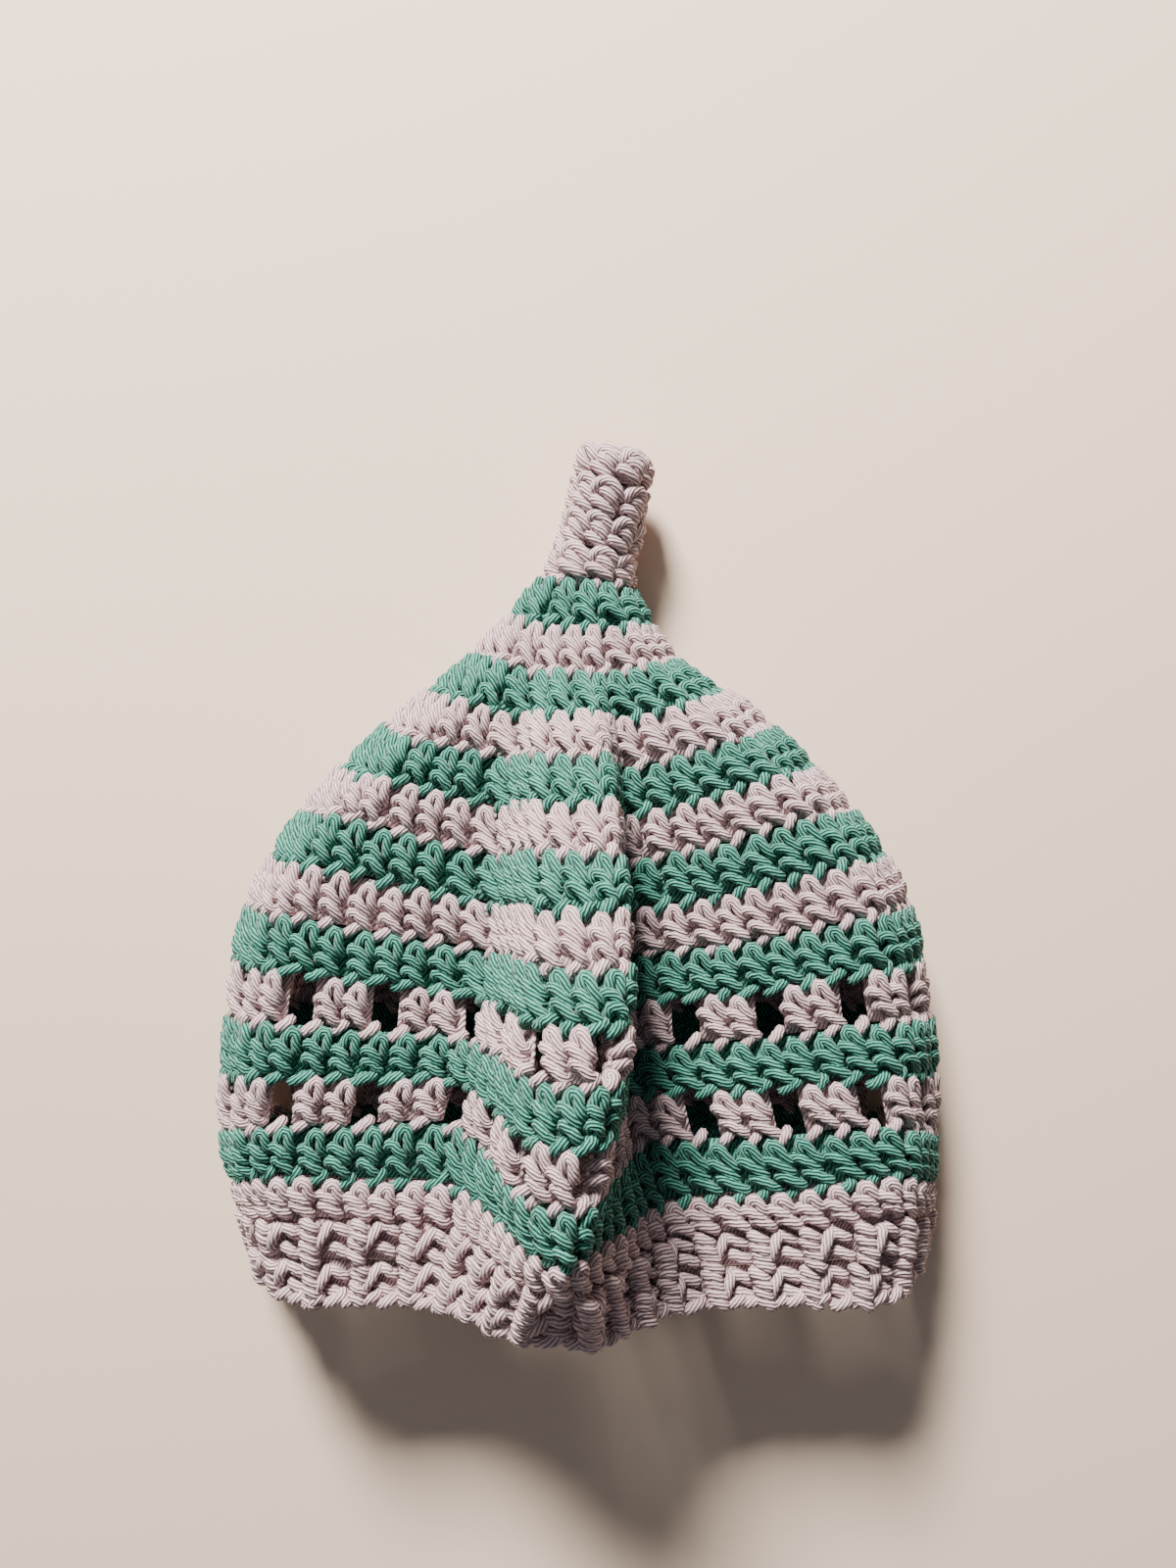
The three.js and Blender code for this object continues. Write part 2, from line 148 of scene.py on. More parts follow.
# Heights: corner and ridge are shares of the crest's height and the others of the panels'.
HEIGHTS = table("at base side panel dip corner ridge", [
    (0, 0, 0.17, 0.94, 1, 0.66, 0.73),
    (0.161, 0, 0.23, 0.98, 0.95, 0.88, 0.98),
    (0.226, 0, 0.3, 1, 0.93, 0.9, 1),
    (0.355, 0, 0.34, 1, 0.89, 0.9, 0.99),
    (0.484, 0, 0.36, 0.98, 0.85, 0.82, 0.9),
    (0.613, 0, 0.36, 0.92, 0.8, 0.68, 0.75),
    (0.742, 0, 0.34, 0.81, 0.75, 0.52, 0.56),
    (0.871, 0, 0.3, 0.62, 0.63, 0.35, 0.355),
    (1, 0.06, 0.27, 0.45, 0.48, 0.255, 0.262),
])

# Shares that place the other points of a section: across, up and ahead.
BACK_LIFT = 0.1
FLAT_ACROSS, FLAT_LIFT = 0.62, 0.5
UNDER_ACROSS, UNDER_UP, UNDER_LIFT = 0.9, 0.16, 0.9
HAUNCH_ACROSS, HAUNCH_UP, HAUNCH_LIFT = 0.62, 0.62, 0.5
RIGHT_PANEL_ACROSS, RIGHT_PANEL_UP, RIGHT_PANEL_LIFT = 0.45, 0.62, 0.35
LEFT_PANEL_ACROSS, LEFT_PANEL_UP, LEFT_PANEL_LIFT = 0.5, 0.68, 0.5
WALL_ACROSS, WALL_UP = 0.6, 0.5
CREST_UP = 0.93
RIDGE_ACROSS = 0.3
BROW_ACROSS, BROW_UP = 0.72, 0.62

# The grid of places on the cap. Its directions are blurred, so that strands don't cross in a fold.
CURVE_STEPS = 16
GRID_AROUND = 960
GRID_ALONG = 240
AROUND_BLURS = 60
NORMAL_BLURS_AROUND = 40
NORMAL_BLURS_ALONG = 6

TINY = 1e-9  # the least length that anything is divided by
SEED = 7
rng = np.random.default_rng(SEED)


def mix(a, b, share):
    return a + (b - a) * share


def unit(vectors):
    return vectors / np.maximum(np.linalg.norm(vectors, axis=-1, keepdims=True), TINY)


def column(rows, name, at):
    """A column of a table at one share of the cloth's length, on a smooth curve."""
    values, places = rows[name], rows["at"]
    last = len(places) - 1
    index = int(np.clip(np.searchsorted(places, at, side="left") - 1, 0, last - 1))

    def slope(i):
        before, after = max(i - 1, 0), min(i + 1, last)
        return (values[after] - values[before]) / (places[after] - places[before])

    step = places[index + 1] - places[index]
    x = (at - places[index]) / step
    rise = values[index + 1] - values[index]
    start, end = slope(index) * step, slope(index + 1) * step
    smooth = x * x * (3 - 2 * x)
    return values[index] + rise * smooth + start * x * (1 - x) ** 2 - end * x * x * (1 - x)


def section_points(at):
    """Points of the closed outline at one share of the cloth's length, from the middle of the back."""
    y = {name: column(ALONG, name, at) * ROW_HEIGHT for name in ("lift", "ease", "foot", "valley")}
    x = {name: column(ACROSS, name, at) * HALF_WIDTH for name in ACROSS}
    z = {name: column(HEIGHTS, name, at) * PANEL_HEIGHT for name in ("base", "side", "panel", "dip")}
    corner = column(HEIGHTS, "corner", at) * CREST_HEIGHT
    ridge = column(HEIGHTS, "ridge", at) * CREST_HEIGHT
    base, side, panel, dip = z["base"] - PRESSED, z["side"], z["panel"], z["dip"]
    width, shoulder, lift, ease = x["width"], x["shoulder"], y["lift"], y["ease"]

    def side_points(way):
        return [
            (way * width * FLAT_ACROSS, lift * FLAT_LIFT, base),
            (way * width * UNDER_ACROSS, lift * UNDER_LIFT, mix(base, side, UNDER_UP)),
            (way * width, lift, side),
            (
                way * mix(shoulder, width, HAUNCH_ACROSS),
                mix(lift, ease, HAUNCH_LIFT),
                mix(side, panel, HAUNCH_UP),
            ),
            (way * shoulder, ease, panel),
        ]

    points = [
        (0, lift * BACK_LIFT, base),
        *side_points(1),
        (
            mix(x["foot"], shoulder, RIGHT_PANEL_ACROSS),
            mix(-y["foot"], ease, RIGHT_PANEL_LIFT),
            mix(dip, panel, RIGHT_PANEL_UP),
        ),
        (x["foot"], -y["foot"], dip),
        (mix(x["foot"], x["crest"], WALL_ACROSS), -y["foot"] * WALL_UP, mix(dip, ridge, WALL_UP)),
        (x["crest"], 0, mix(dip, ridge, CREST_UP)),
        (mix(x["crest"], x["left"], RIDGE_ACROSS), 0, ridge),
        (mix(x["crest"], x["left"], BROW_ACROSS), 0, mix(corner, ridge, BROW_UP)),
        (x["left"], 0, corner),
        (mix(x["valley"], x["left"], WALL_ACROSS), -y["valley"] * WALL_UP, mix(dip, corner, WALL_UP)),
        (x["valley"], -y["valley"], dip),
        (
            mix(x["valley"], -shoulder, LEFT_PANEL_ACROSS),
            mix(-y["valley"], ease, LEFT_PANEL_LIFT),
            mix(dip, panel, LEFT_PANEL_UP),
        ),
        *side_points(-1)[::-1],
    ]
    return np.array(points) + (x["slide"], column(ALONG, "place", at) * CAP_LENGTH, 0)


def tilt_at(at):
    """How far the cap's left side is ahead, for each millimetre across."""
    return ROW_HEIGHT * column(ALONG, "tilt", at) / (HALF_WIDTH * column(ACROSS, "width", at))


def smooth_curve(points, steps):
    """A closed centripetal Catmull-Rom curve through points, with steps from point to point."""
    p0, p1 = np.roll(points, 1, 0), points
    p2, p3 = np.roll(points, -1, 0), np.roll(points, -2, 0)
    d0, d1, d2 = (
        np.maximum(np.linalg.norm(b - a, axis=-1, keepdims=True), TINY) ** 0.5
        for a, b in ((p0, p1), (p1, p2), (p2, p3))
    )
    start = ((p1 - p0) / d0 - (p2 - p0) / (d0 + d1) + (p2 - p1) / d1) * d1
    end = ((p2 - p1) / d1 - (p3 - p1) / (d1 + d2) + (p3 - p2) / d2) * d1
    x = (np.arange(steps) / steps)[:, None]
    square = (-3 * p1 + 3 * p2 - 2 * start - end)[:, None]
    cube = (2 * p1 - 2 * p2 + start + end)[:, None]
    curve = p1[:, None] + start[:, None] * x + square * x**2 + cube * x**3
    return curve.reshape(-1, 3)


def closed_length(curve):
    """The curve with its first point again at its end, and the length up to each point."""
    loop = np.concatenate([curve, curve[:1]])
    steps = np.linalg.norm(np.diff(loop, axis=0), axis=1)
    return loop, np.concatenate([[0], np.cumsum(steps)])


def outline_by_share(at):
    """Points of one outline at even shares of the cloth, as the solids place them."""
    loop, length = closed_length(smooth_curve(section_points(at), CURVE_STEPS))
    length /= length[-1]
    shares = np.arange(GRID_AROUND) / GRID_AROUND
    brim_top = BRIM_HEIGHT / CLOTH_LENGTH
    if at < brim_top:
        above = closed_length(smooth_curve(section_points(brim_top), CURVE_STEPS))[1]
        own, top = length[::CURVE_STEPS], above[::CURVE_STEPS] / above[-1]
        shares = np.interp(shares, mix(own, top, RIB_STEADINESS), own)
    return np.stack([np.interp(shares, length, loop[:, i]) for i in range(3)], -1)


def blurred_around(field, times):
    """A closed field averaged with its neighbours around the cap."""
    for _ in range(times):
        field = (np.roll(field, 1, 0) + 2 * field + np.roll(field, -1, 0)) / 4
    return field


def blurred_along(field, times):
    """A field averaged with its neighbours from rim to stem, with its ends kept."""
    for _ in range(times):
        inner = (field[:, :-2] + 2 * field[:, 1:-1] + field[:, 2:]) / 4
        field = np.concatenate([field[:, :1], inner, field[:, -1:]], 1)
    return field


class CapSurface:
    """The outer face of the cap, by share around it and distance from its rim."""

    def __init__(self):
        self.at = np.linspace(0, 1, GRID_ALONG + 1)
        self.tilt = np.array([tilt_at(at) for at in self.at])
        self.middle = np.array([column(ACROSS, "slide", at) * HALF_WIDTH for at in self.at])
        self.points = np.stack([outline_by_share(at) for at in self.at], 1)
        around = np.roll(self.points, -1, 0) - np.roll(self.points, 1, 0)
        along = np.gradient(self.points, axis=1)
        normals = unit(np.cross(along, blurred_around(around, AROUND_BLURS)))
        normals = blurred_around(normals, NORMAL_BLURS_AROUND)
        self.normals = unit(blurred_along(normals, NORMAL_BLURS_ALONG))

    def sample(self, grid, share, distance):
        """Values between the points of a grid, which is closed around the cap."""
        a = (share % 1) * GRID_AROUND
        b = np.clip(distance / CLOTH_LENGTH, 0, 1) * GRID_ALONG
        i, j = np.floor(a).astype(int), np.minimum(np.floor(b).astype(int), GRID_ALONG - 1)
        x, y = (a - i)[..., None], (b - j)[..., None]
        i0, i1 = i % GRID_AROUND, (i + 1) % GRID_AROUND
        low = mix(grid[i0, j], grid[i1, j], x)
        high = mix(grid[i0, j + 1], grid[i1, j + 1], x)
        return mix(low, high, y)

    def place(self, share, distance, height):
        """Places in millimetres of points at a height over the outer face."""
        point = self.sample(self.points, share, distance)
        point = point + self.sample(self.normals, share, distance) * height[..., None]
        at = distance / CLOTH_LENGTH
        across = point[..., 0] - np.interp(at, self.at, self.middle)
        past_ends = distance - np.clip(distance, 0, CLOTH_LENGTH)
        point[..., 1] += past_ends * LYING_SHARE - np.interp(at, self.at, self.tilt) * across
        return point


class StemSurface:
    """The stem's outer face and its rounded tip, by share around it and distance from its foot."""

    def __init__(self):
        heights = smooth_curve(section_points(1), CURVE_STEPS)[:, 2]
        middle = column(ACROSS, "slide", 1) * HALF_WIDTH
        self.start = np.array([middle, CAP_LENGTH + SEAM, (heights.min() + heights.max()) / 2])
        self.lean = unit(np.array([math.sin(STEM_LEAN), math.cos(STEM_LEAN), math.sin(STEM_LIFT)]))
        self.foot = unit(np.array([tilt_at(1), 1, 0]))

    def place(self, share, distance, height):
        """Places in millimetres of points at a height over the outer face."""
        straight = STEM_LENGTH - TIP_CORNER
        turn = np.clip((distance - straight) / TIP_CORNER, 0, math.pi / 2)
        over_tip = np.maximum(distance - straight - TIP_CORNER * math.pi / 2, 0)
        along = np.minimum(distance, straight) + (TIP_CORNER + height) * np.sin(turn)
        flare = STEM_FLARE * np.maximum(1 - distance / STEM_ROW_HEIGHT, 0)
        radius = STEM_RADIUS + flare - TIP_CORNER + (TIP_CORNER + height) * np.cos(turn) - over_tip
        ahead = unit(mix(self.foot, self.lean, np.clip(along / ROW_HEIGHT, 0, 1)[..., None]))
        across = unit(np.cross(ahead, np.array([0, 0, 1.0])))
        up = np.cross(across, ahead)
        angle = (math.tau * share)[..., None]
        out = across * np.cos(angle) + up * np.sin(angle)
        return self.start + ahead * along[..., None] + out * radius[..., None]


# The places count from the rim, and this moves the rim to where the frame has it.
TO_FRAME = np.array([0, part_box(BRIM_NODE)[0][1] / MM, 0])
CAP = CapSurface()
STEM = StemSurface()

# One stitch of double crochet, seen from outside with the stem up, as closed strands.
# Each point gives stitches to the right, heights of the round down from its top edge,
# and millimetres over the outer face.
PEAK = [
    (0.28, 0.46, -2.6), (0.3, 0.31, -1.6), (0.36, 0.15, -1), (0.5, 0.08, -0.8), (0.63, 0.15, -0.8),
    (0.69, 0.3, -1), (0.78, 0.43, -1.5), (0.88, 0.54, -2.7), (0.76, 0.44, -4.4), (0.4, 0.34, -4.6),
]
UPPER_BAR = [
    (0.08, 0.46, -2.4), (0.1, 0.38, -1.3), (0.27, 0.39, -0.6), (0.48, 0.5, -0.6),
    (0.65, 0.61, -1.3), (0.72, 0.69, -2.7), (0.58, 0.62, -4.5), (0.22, 0.52, -4.5),
]
LOWER_BAR = [
    (0.22, 0.72, -2.5), (0.24, 0.64, -1.4), (0.42, 0.65, -0.7), (0.64, 0.76, -0.8),
    (0.82, 0.86, -1.5), (0.9, 0.92, -2.8), (0.76, 0.86, -4.5), (0.36, 0.78, -4.5),
]
STITCH = [PEAK, UPPER_BAR, LOWER_BAR]

# The chain of a round shows between the peaks of the next round down, and has that round's stitches.
CHAIN = [
    (-0.22, 0.13, -2.9), (-0.16, 0.09, -2), (0, 0.01, -1.6), (0.14, -0.06, -1.9),
    (0.19, -0.1, -2.9), (0.12, -0.05, -3.8), (-0.12, 0.08, -3.8),
]
CHAIN_OVER_HOLE = [
    (-0.42, 0.1, -2.7), (-0.34, 0.08, -1.8), (-0.08, 0.01, -1.4), (0.2, -0.06, -1.6),
    (0.34, -0.1, -2.5), (0.15, -0.06, -3.5), (-0.25, 0.05, -3.5),
]

# A rib of the brim is a stack of strands with an arm at its right, and the stitch beside it is sunk.
POST = [
    (0.3, 0.03, -1.4), (0.32, -0.02, -0.4), (0.48, 0.03, 0.2), (0.64, 0.12, 0.1),
    (0.72, 0.19, -0.9), (0.68, 0.16, -3.2), (0.5, 0.08, -4.3), (0.34, 0.04, -3.2),
]
POST_PLACES = (0.06, 0.31, 0.56, 0.81)
ARM = [
    (0.76, 0.76, -1.8), (0.8, 0.66, -0.9), (0.96, 0.46, -0.5), (1.14, 0.27, -0.8),
    (1.24, 0.17, -1.8), (1.14, 0.28, -3.8), (0.9, 0.58, -4),
]
SUNK_BAR = [
    (1.3, 0.28, -3.3), (1.34, 0.22, -2.5), (1.55, 0.26, -2.1), (1.8, 0.36, -2.3),
    (1.98, 0.44, -3.2), (1.78, 0.4, -4.2), (1.5, 0.31, -4.3),
]
SUNK_PLACES = (-0.06, 0.42)
# Each strand of a rib, with how far down it is moved.
RIB = [(POST, down) for down in POST_PLACES]
RIB += [(SUNK_BAR, down) for down in SUNK_PLACES]
RIB += [(ARM, 0)]
STITCHES_IN_RIB = 2  # one that stands out and one that is sunk

RIM_LINK = [
    (0, 0, -1.9), (0.12, -0.03, -1), (0.38, -0.1, -0.6), (0.66, -0.17, -0.8),
    (0.82, -0.2, -1.8), (0.74, -0.18, -3.8), (0.44, -0.08, -4.5), (0.1, -0.02, -3.7),
]

# The stem's stitches are short and loose: an arch, a leg under it and a sill.
ARCH = [
    (0.02, 0.5, -2.6), (0.07, 0.34, -1.4), (0.27, 0.13, -0.8), (0.52, 0.06, -0.7), (0.77, 0.16, -0.9),
    (0.95, 0.38, -1.5), (1.02, 0.54, -2.8), (0.75, 0.46, -3.9), (0.35, 0.43, -4),
]
LEG = [
    (0.28, 0.42, -2.6), (0.31, 0.34, -1.5), (0.47, 0.41, -0.7), (0.62, 0.56, -0.8),
    (0.71, 0.7, -1.6), (0.73, 0.78, -2.8), (0.58, 0.65, -3.9), (0.4, 0.5, -3.9),
]
SILL = [
    (-0.04, 0.72, -2.7), (0.01, 0.64, -1.6), (0.2, 0.7, -0.9), (0.44, 0.82, -0.9),
    (0.62, 0.92, -1.6), (0.68, 0.98, -2.8), (0.45, 0.88, -3.9), (0.17, 0.77, -3.9),
]
STEM_STITCH = [ARCH, LEG, SILL]

# The back of a stitch is a thin patch that closes the cloth behind its strands. Its edges are in
# stitches and heights of the round, and its outer and inner faces in millimetres.
BACK_ACROSS = (-0.02, 1.02)
BACK_DOWN = (0.04, 0.98)
BACK_HEIGHTS = (-3.4, -4.2)
DEEP_BACK_HEIGHTS = (-4, -4.8)  # behind the ribs of the brim
BACK_BULGE = 0.3  # how far the middle of a stitch's back stands into the cap
BACK_CELLS = (4, 3)
BACK_WIDTH = 6.5  # a usual stitch, which scales the yarn's pattern on the backs

# How much one stitch differs from the next: across, down and out, as in the strands.
STITCH_JITTER = np.array([0.045, 0.022, 0.2])
STRAND_JITTER = np.array([0.03, 0.014, 0.12])
POINT_JITTER = np.array([0.012, 0.006, 0.06])
LOOSENESS = 1.9  # how much more the stitches differ in the ribs and the stem
RADIUS_JITTER = 0.03
SLANT = 0.3  # the stitches lean over to the right on the right half of the cap, and back on the left
SLANT_MIDDLE = 0.5  # the height of a stitch that the lean doesn't move


def strand_path(points, stitch_width, height):
    """A strand's smooth path in its table's shares, and the length up to each of its steps."""
    size = np.array([stitch_width, height, 1])
    path, length = closed_length(smooth_curve(np.array(points, float) * size, CURVE_STEPS))
    hidden = (path[1:, 2] + path[:-1, 2]) / 2 < HIDDEN_BELOW
    weighed = np.cumsum(np.diff(length) * np.where(hidden, HIDDEN_WEIGHT, 1))
    weighed = np.concatenate([[0], weighed])
    wanted = np.arange(STRAND_STEPS + 1) / STRAND_STEPS * weighed[-1]
    places = np.stack([np.interp(wanted[:-1], weighed, path[:, i]) for i in range(3)], -1)
    return places / size, np.interp(wanted, weighed, length)


def patch_faces(cells_across, cells_down):
    """Faces, all turned outwards, of a thin closed patch with an outer and an inner grid of points."""
    shape = (2, cells_across + 1, cells_down + 1)
    outer, inner = np.arange(math.prod(shape)).reshape(shape)
    faces = [
        np.stack([grid[:-1, :-1], grid[1:, :-1], grid[1:, 1:], grid[:-1, 1:]], -1).reshape(-1, 4)
        for grid in (outer, inner)
    ]
    faces[1] = faces[1][:, ::-1]
    borders = [
        np.concatenate([grid[:-1, 0], grid[-1, :-1], grid[:0:-1, -1], grid[0, :0:-1]])
        for grid in (outer, inner)
    ]
    ahead = [np.roll(border, -1) for border in borders]
    faces.append(np.stack([ahead[0], borders[0], borders[1], ahead[1]], -1))
    return np.concatenate(faces)[:, ::-1]


class Yarn:
    """Gathers closed strands of yarn into one mesh, with a map of length and turn for its twist."""

    def __init__(self, radius=YARN_RADIUS):
        self.points, self.faces, self.maps = [], [], []
        self.count = 0
        self.radius = radius

    def add(self, paths, radius, lengths):
        """Adds a strand along each of paths (strands, steps, 3), each with its own radius."""
        tangent = unit(np.roll(paths, -1, 1) - np.roll(paths, 1, 1))
        side = self.steady_side(paths, tangent)
        other = np.cross(tangent, side)
        angle = math.tau * np.arange(YARN_SIDES)[:, None] / YARN_SIDES
        ring = side[:, :, None] * np.cos(angle) + other[:, :, None] * np.sin(angle)
        self.points.append((paths[:, :, None] + ring * radius[:, None, None, None]).reshape(-1, 3))
        self.add_faces(len(paths), lengths)

    @staticmethod
    def steady_side(paths, tangent):
        """A direction square to each strand that turns as little as it can along it."""

        def squared(guide, ahead):
            return unit(guide - (guide * ahead).sum(-1, keepdims=True) * ahead)

        side = np.zeros_like(paths)
        guide = paths[:, 0] - paths.mean(1)
        for step in range(STRAND_STEPS):
            guide = squared(guide, tangent[:, step])
            side[:, step] = guide
        first = side[:, 0]
        last = squared(guide, tangent[:, 0])
        left_over = np.arctan2((np.cross(last, first) * tangent[:, 0]).sum(-1), (last * first).sum(-1))
        angle = (left_over[:, None] * np.arange(STRAND_STEPS) / STRAND_STEPS)[..., None]
        return side * np.cos(angle) + np.cross(tangent, side) * np.sin(angle)

    def add_faces(self, strands, lengths):
        """Adds the faces of as many strands, and maps them by twists of the yarn and turns round it."""
        counts = (np.arange(strands), np.arange(STRAND_STEPS), np.arange(YARN_SIDES))
        strand, step, turn = np.meshgrid(*counts, indexing="ij")
        start = self.count + strand * STRAND_STEPS * YARN_SIDES
        here = start + step * YARN_SIDES
        ahead = start + (step + 1) % STRAND_STEPS * YARN_SIDES
        beside = (turn + 1) % YARN_SIDES
        self.faces.append(np.stack([here + turn, here + beside, ahead + beside, ahead + turn], -1))
        twists = max(round(lengths[-1] / LAY_LENGTH * PLIES), 1) / PLIES
        along = (lengths / lengths[-1] * twists)[np.stack([step, step, step + 1, step + 1], -1)]
        across = np.stack([turn, turn + 1, turn + 1, turn], -1) / YARN_SIDES
        self.maps.append(np.stack([along, across], -1).reshape(-1, 2))
        self.count += strands * STRAND_STEPS * YARN_SIDES

    def lay(self, surface, strand, stitches, count, turned, top, height, down=0):
        """Lays one strand of a stitch at each of the given stitches of a round.

        The round has count stitches in all and is turned by some of them, its top and height are in
        millimetres, and down moves the strand by a share of that height.
        """
        level = np.zeros(len(stitches))
        middle = surface.place((stitches + 0.5) / count, top + level, level)
        pitch = np.linalg.norm(np.roll(middle, -1, 0) - middle, axis=1)
        width = np.median(pitch) / max(np.median(np.diff(stitches)), 1)
        path, lengths = strand_path(strand, width, height)
        own = rng.normal(0, 1, (len(stitches), 1, 3)) * STRAND_JITTER
        path = path + (0, down, 0) + own + self.jitter[stitches]
        path = path + rng.normal(0, 1, path.shape) * POINT_JITTER
        share = (stitches[:, None] + 1 + turned - path[..., 0]) / count
        slant = SLANT * np.sin(math.tau * share) * (path[..., 1] - SLANT_MIDDLE)
        places = surface.place(share - slant / count, top - path[..., 1] * height, path[..., 2])
        places[..., 2] = np.maximum(places[..., 2], LYING_HEIGHT)
        self.add(places, self.radius * (1 + rng.normal(0, RADIUS_JITTER, len(stitches))), lengths)

    def lay_backs(self, surface, stitches, count, turned, top, height, depths=BACK_HEIGHTS):
        """Lays the back of each of the given stitches of a round."""
        across = np.linspace(*BACK_ACROSS, BACK_CELLS[0] + 1)[:, None]
        down = np.linspace(*BACK_DOWN, BACK_CELLS[1] + 1)
        shape = (len(stitches), 2, len(across), len(down))
        share = (stitches[:, None, None, None] + 1 + turned - across) / count
        crown = np.sin(math.pi * np.clip(across, 0, 1)) * np.sin(math.pi * down)
        heights = np.array(depths)[:, None, None] - np.array([0, BACK_BULGE])[:, None, None] * crown
        grids = (np.broadcast_to(part, shape) for part in (share, top - down * height, heights))
        places = surface.place(*grids)
        template = patch_faces(*BACK_CELLS)
        each = math.prod(shape[1:])
        starts = self.count + each * np.arange(len(stitches))
        self.points.append(places.reshape(-1, 3))
        self.faces.append(starts[:, None, None] + template)
        turn = across * BACK_WIDTH / (math.tau * YARN_RADIUS)
        spot = np.stack(np.broadcast_arrays(down * height / LAY_LENGTH, turn), -1)
        spots = np.concatenate([spot.reshape(-1, 2)] * 2)[template]
        self.maps.append(np.tile(spots.reshape(-1, 2), (len(stitches), 1)))
        self.count += each * len(stitches)

    def start_round(self, count, looseness=1):
        """Draws how each stitch of a new round differs, for all its strands alike."""
        self.jitter = rng.normal(0, 1, (count, 1, 3)) * STITCH_JITTER * looseness

    def as_object(self, name, material):
        """A Blender object with everything that was laid, in metres and in the frame."""
        points = (np.concatenate(self.points) + TO_FRAME) * MM
        points[:, 2] = np.maximum(points[:, 2], LOWEST * MM)
        faces = np.concatenate([part.reshape(-1, 4) for part in self.faces])
        mesh = bpy.data.meshes.new(name)
        mesh.vertices.add(len(points))
        mesh.vertices.foreach_set("co", points.ravel())
        mesh.loops.add(faces.size)
        mesh.loops.foreach_set("vertex_index", faces.ravel())
        mesh.polygons.add(len(faces))
        mesh.polygons.foreach_set("loop_start", np.arange(len(faces)) * 4)
        mesh.polygons.foreach_set("loop_total", np.full(len(faces), 4))
        mesh.update(calc_edges=True)
        mesh.polygons.foreach_set("use_smooth", np.ones(len(faces), bool))
        layer = mesh.uv_layers.new(name=YARN_MAP)
        layer.data.foreach_set("uv", np.concatenate(self.maps).ravel())
        mesh.materials.append(material)
        piece = bpy.data.objects.new(name, mesh)
        bpy.context.collection.objects.link(piece)
        return piece


# The yarn's finish.
ROUGHNESS = 0.82
SHEEN = 0.12
SHEEN_ROUGHNESS = 0.4
SPECULAR = 0.2
PLY_ROUNDNESS = 0.6  # a power under 1 makes the plies wide and the painted shade lines between them thin
FIBRE_SCALE, FIBRE_DETAIL = 1900, 3
BLOTCH_SCALE, BLOTCH_DETAIL = 170, 2
PLY_SHADE, FIBRE_TONE, BLOTCH_TONE = 0.5, 0.35, 0.25  # how much of the tone each one makes: the plies' share is painted shade, dark in the grooves between the plies and light on their crowns, and the fibres' and blotches' shares are the yarn's own random tone
DARK_AT, MIDDLE_AT, LIGHT_AT = 0.12, 0.5, 0.92  # the tones that have a yarn's three colours
FIBRE_RELIEF = 0.35  # beside the relief of the plies, which is 1
RELIEF_STRENGTH = 0.9
RELIEF_DEPTH = 0.3 * MM

# The dark, middle and light colour of each yarn, as a display shows them. Between them lie painted
# shade in the grooves between the plies and painted light on the plies' crowns, together with the
# yarn's own random changes of tone.
YARN_COLOURS = {
    "green": [(4, 24, 23), (28, 81, 72), (108, 188, 168)],
    "grey": [(76, 52, 56), (172, 142, 148), (242, 222, 224)],
}
DISPLAY_WHITE = 255
DISPLAY_GAMMA = 2.2


def linear(colour):
    """Linear colour of a display colour, with full alpha."""
    return (*((part / DISPLAY_WHITE) ** DISPLAY_GAMMA for part in colour), 1)


